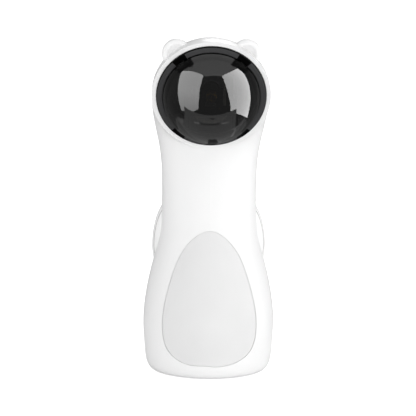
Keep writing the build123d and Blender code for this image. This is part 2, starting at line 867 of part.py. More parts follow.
def tact_switch():
    shape = block(
        (-switch_half, switch_half),
        (board_y, board_y + switch_height),
        (button_z - switch_half, button_z + switch_half),
    )
    shape -= rod_y(plunger_radius + running_gap, board_y + 1, board_y + switch_height + 1, 0, button_z)
    return shape


plunger_top = board_y + switch_height + button_travel + 0.3


def switch_plunger():
    start = board_y + 1 + button_travel + 0.2
    return rod_y(plunger_radius, start, plunger_top, 0, button_z)


def power_button():
    """Cap in the back, held by a flange inside and pressing the switch with its stem."""
    outside = back_at(button_z) + button_proud
    inside = back_at(button_z) - wall - end_play
    cap = rod_y(button_radius, inside - button_flange_thickness, outside, 0, button_z)
    cap = fillet(cap.edges().filter_by(GeomType.CIRCLE).sort_by(Axis.Y)[-1], 0.7)
    dish = Pos(0, outside + 29.4, button_z) * Sphere(30)
    cap -= dish
    cap += rod_y(
        button_radius + button_flange, inside - button_flange_thickness, inside - 0.1, 0, button_z
    ) & form(wall + end_play)
    cap -= rod_y(button_radius - 1.4, 0, inside + 0.6, 0, button_z)
    cap += rod_y(plunger_radius + 0.4, plunger_top, inside + 1, 0, button_z)
    return cap


def status_led():
    return block((-1.6, 1.6), (board_y, board_y + led_height), (light_z - 0.8, light_z + 0.8))


def light_pipe():
    shape = rod_y(light_radius, board_y + led_height + 0.2, back_at(light_z) + 0.1, 0, light_z)
    collar_end = back_at(light_z) - wall - end_play
    return shape + rod_y(light_radius + 0.7, collar_end - 1, collar_end, 0, light_z)


# ---- all nodes ----------------------------------------------------------------------
def build():
    body = casing()
    return {
        "front_shell": front_shell(body),
        "rear_shell": rear_shell(body),
        "belly_panel": belly_panel(),
        "base_plate": base_plate(),
        "foot_pad": foot_pad(),
        "dome_seal": dome_seal(),
        "dome_lens": dome_lens(),
        "bezel_ring": bezel_ring(),
        "mechanism_frame": mechanism_frame(),
        "pan_motor": pan_motor(),
        "pan_shaft": pan_shaft(),
        "pan_pinion": pan_pinion(),
        "pan_yoke": pan_yoke(),
        "pan_gear": pan_gear(),
        "pivot_clip": pivot_clip(),
        "tilt_motor": tilt_motor(),
        "tilt_shaft": tilt_shaft(),
        "tilt_pinion": tilt_pinion(),
        "tilt_gear": tilt_gear(),
        "laser_cradle": laser_cradle(),
        "laser_barrel": laser_barrel(),
        "laser_lens": laser_lens(),
        "laser_board": laser_board(),
        "battery_bay": battery_bay(),
        "battery_cells": battery_cells(),
        "battery_springs": battery_springs(),
        "battery_contacts": battery_contacts(),
        "battery_door": battery_door(),
        "main_board": main_board(),
        "control_chip": control_chip(),
        "board_parts": board_parts(),
        "usb_socket": usb_socket(),
        "tact_switch": tact_switch(),
        "switch_plunger": switch_plunger(),
        "power_button": power_button(),
        "status_led": status_led(),
        "light_pipe": light_pipe(),
        "case_screws": case_screw_set(),
        "frame_screws": frame_screw_set(),
        "motor_screws": motor_screw_set(),
        "board_screws": board_screw_set(),
        "base_screws": base_screw_set(),
    }


os.makedirs("parts", exist_ok=True)
for name, shape in build().items():
    export_step(shape, f"parts/{name}.step")
    print(name, round(shape.volume), "mm3")
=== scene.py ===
# %% [markdown]
# # Automatic cat laser toy
# A standing, bear-shaped toy in white plastic. Its face is a smoked dome in a black ring, and a small
# laser swings behind it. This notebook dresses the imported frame: every piece already has its real
# shape and place, so what follows is about finishes, a camera, a table and light.

# %% Load the frame
from math import cos, radians, sin

import bmesh
import bpy
from mathutils import Matrix, Vector

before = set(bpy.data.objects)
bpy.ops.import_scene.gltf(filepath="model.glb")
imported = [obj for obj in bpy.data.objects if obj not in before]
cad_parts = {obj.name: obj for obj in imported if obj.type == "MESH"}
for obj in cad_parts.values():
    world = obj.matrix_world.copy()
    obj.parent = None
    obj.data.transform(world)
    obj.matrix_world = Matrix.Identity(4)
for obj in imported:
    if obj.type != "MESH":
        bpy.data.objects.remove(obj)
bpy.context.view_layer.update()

MM = 0.001
print("pieces in the frame:", len(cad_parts))

# %% [markdown]
# ## Helpers for colour and nodes
# A designer picks colours as sRGB hex codes, while a shader reckons in linear light, so one function
# turns the first into the second. A material is a small net of nodes, so one function adds a node, sets
# it up and links it. The rest is what every solid material here starts from: a shader, the place of
# each point on the piece, and a fine relief made of noise, because noise never repeats.


# %% Colour
def linear(code):
    """Linear colour, with alpha 1, of a hex code such as #F4F4F2."""
    parts = [int(code[i:i + 2], 16) / 255 for i in (1, 3, 5)]
    return [p / 12.92 if p <= 0.04045 else ((p + 0.055) / 1.055) ** 2.4 for p in parts] + [1.0]


print("mid grey #808080 is", round(linear("#808080")[0], 3), "in linear light")


# %% Nodes
def add(tree, kind, links=None, inputs=None, **settings):
    """Adds a node. links maps its inputs to sources, and inputs maps them to values."""
    made = tree.nodes.new(kind)
    for name, value in settings.items():
        setattr(made, name, value)
    for name, value in (inputs or {}).items():
        made.inputs[name].default_value = value
    for name, source in (links or {}).items():
        tree.links.new(source, made.inputs[name])
    return made


def cleared(block):
    """The empty node net of a new material or world."""
    block.use_nodes = True
    block.node_tree.nodes.clear()
    return block.node_tree


def surface(name, colour, roughness, ior=1.5, metallic=0.0):
    """New material. Gives it, its net, its shader, and the place of every point on the piece."""
    made = bpy.data.materials.new(name)
    tree = cleared(made)
    shader = add(tree, "ShaderNodeBsdfPrincipled", inputs={
        "Base Color": linear(colour), "Roughness": roughness, "IOR": ior, "Metallic": metallic})
    add(tree, "ShaderNodeOutputMaterial", links={"Surface": shader.outputs[0]})
    place = add(tree, "ShaderNodeTexCoord").outputs["Object"]
    return made, tree, shader, place


print("made the node helpers add, cleared and surface")


# %% Relief
def per(size_mm):
    """Scale of a pattern whose detail is size_mm across, where places are in metres."""
    return 1 / (size_mm * MM)


def relief(tree, place, size_mm, depth_mm, strength, **noise_inputs):
    """Noise with details size_mm across, as a pattern from 0 to 1 and as a bumped normal."""
    pattern = add(tree, "ShaderNodeTexNoise", links={"Vector": place},
                  inputs={"Scale": per(size_mm), **noise_inputs}).outputs["Fac"]
    bump = add(tree, "ShaderNodeBump", links={"Height": pattern},
               inputs={"Strength": strength, "Distance": depth_mm * MM})
    return pattern, bump.outputs["Normal"]


print("a grain of 1 mm has the scale", per(1))

# %% [markdown]
# ## Moulded white ABS
# Both half shells, the base plate, the battery door and the push button are injection-moulded ABS with
# a bright, smooth skin. Up close such a skin is never a mirror: the melt leaves a faint orange peel
# about a millimetre across, and handling leaves patches that are a little duller. ABS has an index of
# about 1.53. The index here is lower, because at the typical one the rims of the shells would mirror
# the dark part of this studio and show grey.

# %% Polished skin
ABS_IOR = 1.14
PEEL_SIZE, PEEL_DEPTH = 1.1, 0.02  # mm
PATCH_SIZE = 28  # mm
FRESH_ROUGHNESS, HANDLED_ROUGHNESS = 0.30, 0.38


def polished_skin(tree, shader, place):
    """Gives a shader orange peel, and roughness that changes from patch to patch."""
    patches = add(tree, "ShaderNodeTexNoise", links={"Vector": place},
                  inputs={"Scale": per(PATCH_SIZE), "Detail": 2.0})
    dull = add(tree, "ShaderNodeMapRange", links={"Value": patches.outputs["Fac"]},
               inputs={"To Min": FRESH_ROUGHNESS, "To Max": HANDLED_ROUGHNESS})
    tree.links.new(dull.outputs["Result"], shader.inputs["Roughness"])
    _, peel = relief(tree, place, PEEL_SIZE, PEEL_DEPTH, strength=0.05, Detail=1.0)
    tree.links.new(peel, shader.inputs["Normal"])


print("orange peel", PEEL_SIZE, "mm across and", PEEL_DEPTH, "mm deep")

# %% [markdown]
# The dishes of the ears are painted a little greyer than the polished skin round them: painted shade,
# standing for the shadow in their hollows. A dish is a disc in the front view, so one distance finds
# both of them once the left side is folded onto the right.

# %% Ear dishes
EAR_X, EAR_FRONT, EAR_Z = 20.5 * MM, -35.0 * MM, 195.0 * MM
DISH_RADIUS = 5.7 * MM
DISH_FADE = 0.9 * DISH_RADIUS, 1.05 * DISH_RADIUS
# The dish grey is painted shade, standing for the shadow in each dish's hollow.
DISH_SHADE = "#ECECEC"


def with_shaded_dishes(tree, axes, colour):
    """The shell's colour, with painted shade greying the front of each ear's dish."""
    across = add(tree, "ShaderNodeMath", links={0: axes["X"]}, operation="ABSOLUTE")
    front_view = add(tree, "ShaderNodeCombineXYZ", links={"X": across.outputs[0], "Y": axes["Z"]})
    away = add(tree, "ShaderNodeVectorMath", links={0: front_view.outputs[0]},
               inputs={1: (EAR_X, EAR_Z, 0)}, operation="DISTANCE")
    outside = add(tree, "ShaderNodeMapRange", links={"Value": away.outputs["Value"]},
                  inputs={"From Min": DISH_FADE[0], "From Max": DISH_FADE[1]})
    behind = add(tree, "ShaderNodeMath", links={0: axes["Y"]}, inputs={1: EAR_FRONT},
                 operation="GREATER_THAN")
    polished = add(tree, "ShaderNodeMath", links={0: outside.outputs["Result"], 1: behind.outputs[0]},
                   operation="MAXIMUM")
    skin = add(tree, "ShaderNodeMix", links={"Factor": polished.outputs[0]},
               inputs={"A": linear(DISH_SHADE), "B": linear(colour)}, data_type="RGBA")
    return skin.outputs["Result"]


print("each dish is", round(2 * DISH_RADIUS / MM, 1), "mm across")

# %% [markdown]
# The two shells meet in a plane, where a real toy shows a hairline. The solids meet there face to face
# and leave no gap, so the line is drawn in the material: it is where a point is close to that plane.

# %% Parting line
PARTING_Y = 4.0 * MM
SEAM_HALF_WIDTH = 0.12 * MM
SEAM_FADE = 1.6 * SEAM_HALF_WIDTH
SEAM_GREY = "#8C8C8A"


def with_parting_line(tree, axes, skin):
    """The shell's skin with the hairline between the two shells."""
    offset = add(tree, "ShaderNodeMath", links={0: axes["Y"]}, inputs={1: PARTING_Y}, operation="SUBTRACT")
    away = add(tree, "ShaderNodeMath", links={0: offset.outputs[0]}, operation="ABSOLUTE")
    beside = add(tree, "ShaderNodeMapRange", links={"Value": away.outputs[0]},
                 inputs={"From Min": SEAM_HALF_WIDTH, "From Max": SEAM_FADE})
    lined = add(tree, "ShaderNodeMix", links={"Factor": beside.outputs["Result"], "B": skin},
                inputs={"A": linear(SEAM_GREY)}, data_type="RGBA")
    return lined.outputs["Result"]


print("parting line", round(2 * SEAM_HALF_WIDTH / MM, 2), "mm wide")

# %% [markdown]
# The shells get all three features. The small white pieces get the polished skin alone.

# %% White ABS
WHITE = "#F3F3F3"
ABS_ROUGHNESS = 0.34


def white_abs(name, is_shell):
    """Glossy white ABS. A shell also has painted shade in the ears' dishes, and the parting line."""
    material, tree, shader, place = surface(name, WHITE, ABS_ROUGHNESS, ior=ABS_IOR)
    polished_skin(tree, shader, place)
    if is_shell:
        axes = add(tree, "ShaderNodeSeparateXYZ", links={"Vector": place}).outputs
        colour = with_parting_line(tree, axes, with_shaded_dishes(tree, axes, WHITE))
        tree.links.new(colour, shader.inputs["Base Color"])
    return material


shell_white = white_abs("moulded_white_abs", is_shell=True)
plain_white = white_abs("moulded_white_abs_small", is_shell=False)
print("made", shell_white.name, "and", plain_white.name)

# %% [markdown]
# ## Satin belly
# The belly is a separate panel in a slightly greyer, textured grade: the mould is spark-eroded, which
# leaves grains of about 0.15 mm that scatter the light. That grain is too fine to show from nearly two
# metres away, so it is drawn twice as coarse. A second, slow noise keeps the grey from being dead flat.

# %% Satin panel
SPARK_GRAIN, SPARK_DEPTH = 0.3, 0.03  # mm
TONE_SIZE = 20  # mm
SATIN_GREY, SATIN_PALE = "#E1E1E1", "#E6E6E6"
belly_satin, tree, shader, place = surface("spark_textured_abs", SATIN_GREY, 0.52, ior=ABS_IOR)
_, sparked = relief(tree, place, SPARK_GRAIN, SPARK_DEPTH, strength=0.18, Detail=3.0, Roughness=0.6)
tree.links.new(sparked, shader.inputs["Normal"])
tone = add(tree, "ShaderNodeTexNoise", links={"Vector": place},
           inputs={"Scale": per(TONE_SIZE), "Detail": 1.0})
shade = add(tree, "ShaderNodeMix", links={"Factor": tone.outputs["Fac"]},
            inputs={"A": linear(SATIN_GREY), "B": linear(SATIN_PALE)}, data_type="RGBA")
tree.links.new(shade.outputs["Result"], shader.inputs["Base Color"])
print("made", belly_satin.name)

# %% [markdown]
# ## The black ring
# The ring that clamps the dome is black ABS. A painted reflection runs round its front: a grey satin band
# in four arcs, with glossy black breaks at the diagonals and a short break at the bottom. The face
# leans down by 20 degrees, so the band is found in the face's own plane: how far a point is from the
# face's centre, and in which direction. The ring's gloss is held down, because a white studio would turn
# its black grey.

# %% Face plane
FACE_TILT = radians(20)
FACE_CENTRE = Vector((0, -34.0, 170.0)) * MM
FACE_RIGHT = Vector((1, 0, 0))
FACE_UP = Vector((0, -sin(FACE_TILT), cos(FACE_TILT)))
FACE_OUT = Vector((0, -cos(FACE_TILT), -sin(FACE_TILT)))
print("the face looks towards", [round(v, 2) for v in FACE_OUT])

# %% Where a point lies on the ring
# The band's grey is painted reflection, standing for the studio mirrored in the ring.
RING_BLACK, REFLECTION_GREY = "#050505", "#3F3F40"
RING_ROUGHNESS, BAND_ROUGHNESS = 0.12, 0.45
RING_IOR, RING_GLOSS = 1.45, 0.18
ring_black, tree, shader, place = surface("ring_black_abs", RING_BLACK, RING_ROUGHNESS, ior=RING_IOR)
shader.inputs["Specular IOR Level"].default_value = RING_GLOSS
from_centre = add(tree, "ShaderNodeVectorMath", links={0: place}, inputs={1: FACE_CENTRE},
                  operation="SUBTRACT").outputs[0]
side = add(tree, "ShaderNodeSeparateXYZ", links={"Vector": from_centre}).outputs["X"]
rise = add(tree, "ShaderNodeVectorMath", links={0: from_centre}, inputs={1: FACE_UP},
           operation="DOT_PRODUCT").outputs["Value"]
in_plane = add(tree, "ShaderNodeCombineXYZ", links={"X": side, "Y": rise}).outputs[0]
reach = add(tree, "ShaderNodeVectorMath", links={0: in_plane}, operation="LENGTH").outputs["Value"]
wide = add(tree, "ShaderNodeMath", links={0: side}, operation="ABSOLUTE").outputs[0]
tall = add(tree, "ShaderNodeMath", links={0: rise}, operation="ABSOLUTE").outputs[0]
turn = add(tree, "ShaderNodeMath", links={0: tall, 1: wide}, operation="ARCTAN2").outputs[0]
print("started", ring_black.name)

# %% The painted reflection band and its breaks
BAND_INNER, BAND_OUTER = 28.3 * MM, 31.9 * MM
BREAK_FROM, BREAK_TO = radians(44), radians(60)
BOTTOM_BREAK_HALF_WIDTH = 2.7 * MM
within = {}
for zone, measure, low, high in (("band", reach, BAND_INNER, BAND_OUTER),
                                 ("diagonal", turn, BREAK_FROM, BREAK_TO),
                                 ("middle", side, -BOTTOM_BREAK_HALF_WIDTH, BOTTOM_BREAK_HALF_WIDTH)):
    within[zone] = add(tree, "ShaderNodeMath", links={0: measure}, operation="COMPARE",
                       inputs={1: (low + high) / 2, 2: (high - low) / 2}).outputs[0]
below = add(tree, "ShaderNodeMath", links={0: rise}, inputs={1: 0.0}, operation="LESS_THAN")
bottom_break = add(tree, "ShaderNodeMath", links={0: within["middle"], 1: below.outputs[0]},
            operation="MULTIPLY")
breaks = add(tree, "ShaderNodeMath", links={0: within["diagonal"], 1: bottom_break.outputs[0]},
             operation="MAXIMUM")
painted_reflection = add(tree, "ShaderNodeMath", links={0: within["band"], 1: breaks.outputs[0]},
            operation="SUBTRACT", use_clamp=True).outputs[0]
print("band", round((BAND_OUTER - BAND_INNER) / MM, 1), "mm wide")

# %% Gloss and painted reflection on the ring
shade = add(tree, "ShaderNodeMix", links={"Factor": painted_reflection},
            inputs={"A": linear(RING_BLACK), "B": linear(REFLECTION_GREY)}, data_type="RGBA")
tree.links.new(shade.outputs["Result"], shader.inputs["Base Color"])
dull = add(tree, "ShaderNodeMapRange", links={"Value": painted_reflection},
           inputs={"To Min": RING_ROUGHNESS, "To Max": BAND_ROUGHNESS})
tree.links.new(dull.outputs["Result"], shader.inputs["Roughness"])
print("made", ring_black.name)

# %% [markdown]
# ## Smoked dome
# The dome is moulded from smoked polycarbonate, which lets a red laser dot out but hides what is
# inside. Two things make it: a tint, which light crosses at both faces of the wall, and a clear skin
# that mirrors more and more towards its rim. Polycarbonate has an index of 1.59, and 1.9 is used, so
# that the room shows as clearly in it as on a freshly polished dome. The ring stands close round the
# rim, so the mirrored share is held down there. Only the outer skin mirrors: a point seen from behind
# lies inside the wall, where a second mirror would draw a false line.

# %% How much of the dome's light is mirrored
DOME_IOR, RIM_SHARE = 1.9, 0.5
FLOW_SIZE, FLOW_DEPTH = 24, 0.15  # mm
dome_smoke = bpy.data.materials.new("smoked_polycarbonate")
tree = cleared(dome_smoke)
place = add(tree, "ShaderNodeTexCoord").outputs["Object"]
_, skin = relief(tree, place, FLOW_SIZE, FLOW_DEPTH, strength=0.12, Detail=0.0)
fresnel = add(tree, "ShaderNodeFresnel", links={"Normal": skin}, inputs={"IOR": DOME_IOR})
capped = add(tree, "ShaderNodeMath", links={0: fresnel.outputs[0]}, inputs={1: RIM_SHARE},
             operation="MINIMUM")
inside = add(tree, "ShaderNodeNewGeometry").outputs["Backfacing"]
outside = add(tree, "ShaderNodeMath", links={1: inside}, inputs={0: 1.0}, operation="SUBTRACT")
share = add(tree, "ShaderNodeMath", links={0: capped.outputs[0], 1: outside.outputs[0]},
            operation="MULTIPLY").outputs[0]
print("started", dome_smoke.name)

# %% Tint and mirror
SMOKE = "#959595"
tint = add(tree, "ShaderNodeBsdfTransparent", inputs={"Color": linear(SMOKE)})
mirror = add(tree, "ShaderNodeBsdfGlossy", links={"Normal": skin}, inputs={"Roughness": 0.0})
both = add(tree, "ShaderNodeMixShader", links={0: share, 1: tint.outputs[0], 2: mirror.outputs[0]})
add(tree, "ShaderNodeOutputMaterial", links={"Surface": both.outputs[0]})
print("light left after one wall:", round(linear(SMOKE)[0] ** 2, 3))

# %% [markdown]
# ## Hidden parts and small parts
# Behind the dome and under the battery door sit ordinary engineering materials. Each gets the one
# feature that tells it apart: brushing on drawn steel, lathe marks on brass, bubbles in foam. All of
# these are noise, stretched along an axis where a tool ran, so one function makes them from the size
# of the grain in millimetres.


# %% Grained finishes
SPREAD = 0.2  # share by which a roughness rises and falls with the grain


def grained(name, colour, roughness, grain_mm, strength, stretch=(1, 1, 1), depth_mm=0.02, **more):
    """Material whose relief and roughness follow one noise, stretched where it is brushed or turned."""
    material, tree, shader, place = surface(name, colour, roughness, **more)
    spread = add(tree, "ShaderNodeMapping", links={"Vector": place}, inputs={"Scale": stretch})
    pattern, normal = relief(tree, spread.outputs[0], grain_mm, depth_mm, strength)
    tree.links.new(normal, shader.inputs["Normal"])
    rough = add(tree, "ShaderNodeMapRange", links={"Value": pattern},
                inputs={"To Min": (1 - SPREAD) * roughness, "To Max": min(1.0, (1 + SPREAD) * roughness)})
    tree.links.new(rough.outputs["Result"], shader.inputs["Roughness"])
    return material


finishes = {  # name, colour, roughness, size of the grain in mm, strength of the relief
    "foam": grained("closed_cell_foam", "#1C1C1C", 0.95, 0.5, 0.6, depth_mm=0.15),
    "rubber": grained("moulded_grey_rubber", "#4A4A4B", 0.8, 0.4, 0.4, depth_mm=0.05),
    "nylon": grained("black_nylon", "#17171A", 0.55, 0.25, 0.25),
    "acetal": grained("natural_acetal", "#E9E6DC", 0.4, 0.4, 0.1, ior=1.48),
    "can": grained("plated_steel_can", "#B9BABC", 0.35, 0.3, 0.3, stretch=(0.1, 1, 1), metallic=1.0),
    "ground": grained("ground_steel", "#C4C5C7", 0.22, 0.2, 0.2, stretch=(1, 1, 0.1), metallic=1.0),
    "brass": grained("turned_brass", "#C9A45C", 0.28, 0.15, 0.3, stretch=(0.1, 1, 1), metallic=1.0),
    "nickel": grained("nickel_plated_spring_steel", "#CFCCC4", 0.25, 0.3, 0.15, metallic=1.0),
    "zinc": grained("zinc_plated_steel", "#BFC3C6", 0.36, 0.25, 0.25, metallic=1.0),
    "epoxy": grained("moulded_epoxy", "#141415", 0.6, 0.12, 0.3),
    "diode": grained("diode_package", "#E8E2C6", 0.5, 0.3, 0.1),
}
print("finishes:", ", ".join(finishes))

# %% [markdown]
# The clear parts are acrylic, of index 1.49: the laser's lens, which is polished, and the rod that
# carries the light from the diode to the back, which is frosted. They differ in how much light they
# pass and in the size of their relief.

# %% Clear parts
ACRYLIC_IOR, ACRYLIC_DEPTH = 1.49, 0.01  # the depth is in mm


def acrylic(name, colour, roughness, passes, grain_mm, strength):
    """Clear plastic that passes the given share of the light."""
    material, tree, shader, place = surface(name, colour, roughness, ior=ACRYLIC_IOR)
    shader.inputs["Transmission Weight"].default_value = passes
    _, normal = relief(tree, place, grain_mm, ACRYLIC_DEPTH, strength)
    tree.links.new(normal, shader.inputs["Normal"])
    return material


lens_clear = acrylic("clear_acrylic", "#F2F6FA", 0.02, passes=1.0, grain_mm=3, strength=0.05)
pipe_frosted = acrylic("frosted_acrylic", "#DDE5DD", 0.28, passes=0.6, grain_mm=0.2, strength=0.2)
print("made", lens_clear.name, "and", pipe_frosted.name)

# %% [markdown]
# The cells wear a printed film, dark with a lighter collar at the upper end. The collar is a matter of
# height alone, so it needs no picture. The board's green resist lies over copper tracks, which show as
# a paler net, and the joints of a brick pattern are such a net.

# %% Film on the cells
COLLAR_Z, COLLAR_FADE = 50.0 * MM, 0.3 * MM
FILM_DARK, FILM_COLLAR = "#22282F", "#B8B4A8"
cell_film, tree, shader, place = surface("printed_cell_film", FILM_DARK, 0.3)
height = add(tree, "ShaderNodeSeparateXYZ", links={"Vector": place}).outputs["Z"]
collar = add(tree, "ShaderNodeMapRange", links={"Value": height},
             inputs={"From Min": COLLAR_Z, "From Max": COLLAR_Z + COLLAR_FADE})
shade = add(tree, "ShaderNodeMix", links={"Factor": collar.outputs["Result"]},
            inputs={"A": linear(FILM_DARK), "B": linear(FILM_COLLAR)}, data_type="RGBA")
tree.links.new(shade.outputs["Result"], shader.inputs["Base Color"])
print("made", cell_film.name)

# %% Solder resist
TILE = 2.5  # mm; a brick of the pattern is half as wide and a quarter as high
TRACK_WIDTH = 0.4  # mm; each of the two bricks beside a joint gives half of it
RESIST_DARK, RESIST_LIGHT, OVER_COPPER = "#1C5230", "#1F5834", "#3E8B55"
board_green, tree, shader, place = surface("solder_resist", RESIST_DARK, 0.4)
tracks = add(tree, "ShaderNodeTexBrick", links={"Vector": place}, inputs={
    "Scale": per(TILE), "Mortar Size": TRACK_WIDTH / 2 / TILE, "Mortar Smooth": 0.1,
    "Color1": linear(RESIST_DARK), "Color2": linear(RESIST_LIGHT), "Mortar": linear(OVER_COPPER)})
tree.links.new(tracks.outputs["Color"], shader.inputs["Base Color"])
print("made", board_green.name)

# %% [markdown]
# ## Dress the frame
# The frame's own pieces keep their shape, so dressing them means putting the right material in each
# piece's slots. A table of materials and their pieces shows at a glance what is made of what.

# %% Materials on the frame's pieces
dress = {
    shell_white: ["front_shell", "rear_shell"],
    plain_white: ["battery_door", "base_plate", "power_button"],
    belly_satin: ["belly_panel"],
    ring_black: ["bezel_ring"],
    dome_smoke: ["dome_lens"],
    lens_clear: ["laser_lens"],
    pipe_frosted: ["light_pipe"],
    cell_film: ["battery_cells"],
    board_green: ["main_board", "laser_board"],
    finishes["foam"]: ["dome_seal"],
    finishes["rubber"]: ["foot_pad"],
    finishes["nylon"]: ["mechanism_frame", "pan_yoke", "laser_cradle", "battery_bay"],
    finishes["acetal"]: ["pan_pinion", "pan_gear", "tilt_pinion", "tilt_gear"],
    finishes["can"]: ["pan_motor", "tilt_motor"],
    finishes["ground"]: ["pan_shaft", "tilt_shaft", "pivot_clip"],
    finishes["brass"]: ["laser_barrel"],
    finishes["nickel"]: ["battery_springs", "battery_contacts", "usb_socket"],
    finishes["zinc"]: ["case_screws", "frame_screws", "motor_screws", "board_screws", "base_screws"],
    finishes["epoxy"]: ["control_chip", "board_parts", "tact_switch", "switch_plunger"],
    finishes["diode"]: ["status_led"],
}
for material, names in dress.items():
    for name in names:
        for piece_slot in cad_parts[name].material_slots:
            piece_slot.material = material
print("dressed", sum(len(names) for names in dress.values()), "of", len(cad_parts))

# %% [markdown]
# ## Camera
# A long lens keeps the toy's sides parallel. It stands a little above the toy's middle and almost
# straight ahead of it. The camera is placed by its direction from the point it aims at, because two
# angles say more than three coordinates.

# %% Camera
DISTANCE = 1.8  # m
ELEVATION, YAW, ROLL = radians(9.1), radians(-1.2), radians(0.45)
AIM = Vector((-0.72, 0, 98.2)) * MM
FRAME_WIDTH = 249.6 * MM  # width of the view at the toy
SENSOR = 36.0  # mm

sight = Vector((sin(YAW) * cos(ELEVATION), -cos(YAW) * cos(ELEVATION), sin(ELEVATION)))
camera = bpy.data.objects.new("camera", bpy.data.cameras.new("camera"))
camera.data.sensor_width = SENSOR
camera.data.lens = SENSOR * DISTANCE / FRAME_WIDTH
camera.location = AIM + DISTANCE * sight
camera.rotation_mode = "QUATERNION"
turn_to = sight.to_track_quat("Z", "Y")
camera.rotation_quaternion = turn_to @ Matrix.Rotation(ROLL, 3, "Z").to_quaternion()
bpy.context.collection.objects.link(camera)
bpy.context.scene.camera = camera
print("lens", round(camera.data.lens), "mm at", DISTANCE, "m")

# %% [markdown]
# ## Table and background
# The toy stands on a white paper sweep. Part of the paper's brightness is its own light, which only
# the camera sees, so the paper comes out white without more light on the toy. The rest is the studio's
# light on it, so the toy's soft shadow still darkens it.


# %% Paper sweep
def flat_piece(name, corners, material):
    """Flat panel through the given corners."""
    mesh = bpy.data.meshes.new(name)
    shape = bmesh.new()
    shape.faces.new([shape.verts.new(corner) for corner in corners])
    shape.to_mesh(mesh)
    shape.free()
    mesh.materials.append(material)
    made = bpy.data.objects.new(name, mesh)
    bpy.context.collection.objects.link(made)
    return made


FLOOR_REACH = 12.0  # m from the middle to each side
sweep, tree, shader, place = surface("paper_sweep", "#EDEDED", 0.9)
rays = add(tree, "ShaderNodeLightPath").outputs
own = add(tree, "ShaderNodeEmission", links={"Strength": rays["Is Camera Ray"]},
          inputs={"Color": linear("#E7E7E7")})
both = add(tree, "ShaderNodeAddShader", links={0: shader.outputs[0], 1: own.outputs[0]})
tree.links.new(both.outputs[0], tree.nodes["Material Output"].inputs["Surface"])
floor = flat_piece("floor", [(x * FLOOR_REACH, y * FLOOR_REACH, 0)
                             for x, y in ((-1, -1), (1, -1), (1, 1), (-1, 1))], sweep)
floor.visible_glossy = False
print("made", sweep.name, "on", floor.name)

# %% [markdown]
# The room is white and lights the toy evenly. The camera sees it at full white, also through clear
# parts. Glossy pieces see it much darker, because their reflections come from the panels below.

# %% World
WORLD_LIGHT = 0.6
WORLD_MIRRORED = 0.14
world = bpy.data.worlds.new("studio")
bpy.context.scene.world = world
tree = cleared(world)
rays = add(tree, "ShaderNodeLightPath").outputs
seen = add(tree, "ShaderNodeMath", links={0: rays["Is Camera Ray"], 1: rays["Is Transmission Ray"]},
           operation="MAXIMUM")
unseen = add(tree, "ShaderNodeMapRange", links={"Value": rays["Is Glossy Ray"]},
             inputs={"To Min": WORLD_LIGHT, "To Max": WORLD_MIRRORED})
strength = add(tree, "ShaderNodeMath", links={0: unseen.outputs["Result"], 1: seen.outputs[0]},
               operation="MAXIMUM")
back = add(tree, "ShaderNodeBackground", links={"Strength": strength.outputs[0]},
           inputs={"Color": linear("#FFFFFF")})
add(tree, "ShaderNodeOutputWorld", links={"Surface": back.outputs[0]})
print("world lights at", WORLD_LIGHT, "and shows white")

# %% [markdown]
# ## What the dome mirrors
# A glossy ball shows the whole room, so the room is built from flat panels that show only in mirrors.
# They glow instead of being lit, so that they leave the light on the white body alone. A glow can
# change along the panel, as a softbox does, which is brighter near its lamp.


# %% Glowing cloth and cards
def glow(name, low, high=None, axis="Z", reach=1.0):
    """Light that runs from low to high along one axis of its panel, over that share of its length."""
    made = bpy.data.materials.new(name)
    tree = cleared(made)
    shine = add(tree, "ShaderNodeEmission", inputs={"Strength": low})
    add(tree, "ShaderNodeOutputMaterial", links={"Surface": shine.outputs[0]})
    if high is not None:
        place = add(tree, "ShaderNodeTexCoord").outputs["Generated"]
        along = add(tree, "ShaderNodeSeparateXYZ", links={"Vector": place}).outputs[axis]
        ramp = add(tree, "ShaderNodeMapRange", links={"Value": along},
                   inputs={"From Max": reach, "To Min": low, "To Max": high})
        tree.links.new(ramp.outputs["Result"], shine.inputs["Strength"])
    return made


def mirrored_only(made):
    """Hides a piece from everything but reflections."""
    for ray in ("camera", "diffuse", "transmission", "shadow", "volume_scatter"):
        setattr(made, "visible_" + ray, False)


print("panels are hidden from all rays but glossy ones")

# %% [markdown]
# Two softboxes stand left and right of the camera and draw the two tall windows in the dome. An upright
# panel is given by the way it faces and by its corners in metres: along the panel, and up from the
# dome's centre. Their outlines flare at the top and pull in at the bottom, as cloth does on its rods.

# %% Softboxes
SOFTBOX_DISTANCE = 0.9  # m


def upright(name, facing, outline, material):
    """Upright panel; facing is in degrees, 0 ahead of the toy and 90 at its left hand."""
    angle = radians(facing)
    ahead = Vector((sin(angle), -cos(angle), 0))
    along = Vector((cos(angle), sin(angle), 0))
    foot = FACE_CENTRE + SOFTBOX_DISTANCE * ahead
    mirrored_only(flat_piece(name, [foot + u * along + Vector((0, 0, v)) for u, v in outline], material))


upright("softbox_left", -48.8,
        [(0.27, 1.57), (-0.57, 1.37), (-1.90, 1.56), (-1.41, 0.96), (-1.02, 0.55), (-0.78, 0.21),
         (-0.66, -0.06), (-0.60, -0.34), (-0.60, -0.51), (0.02, -0.50), (0.26, -0.41), (0.31, 0.0),
         (0.30, 0.40), (0.31, 0.82)],
        glow("softbox_left_cloth", 2.1, 3.2, axis="Z", reach=0.35))
upright("softbox_right", 64.6,
        [(-0.48, 1.29), (0.29, 1.19), (1.36, 1.29), (1.07, 0.82), (0.91, 0.50), (0.81, 0.24), (0.77, 0.0),
         (0.77, -0.27), (0.85, -0.48), (1.16, -0.85), (0.35, -0.60), (-0.26, -0.48), (-0.33, -0.20),
         (-0.41, 0.06), (-0.46, 0.44), (-0.48, 0.86)],
        glow("softbox_right_cloth", 3.9, 6.1, axis="Y", reach=0.8))
print("softboxes", SOFTBOX_DISTANCE, "m from the dome")
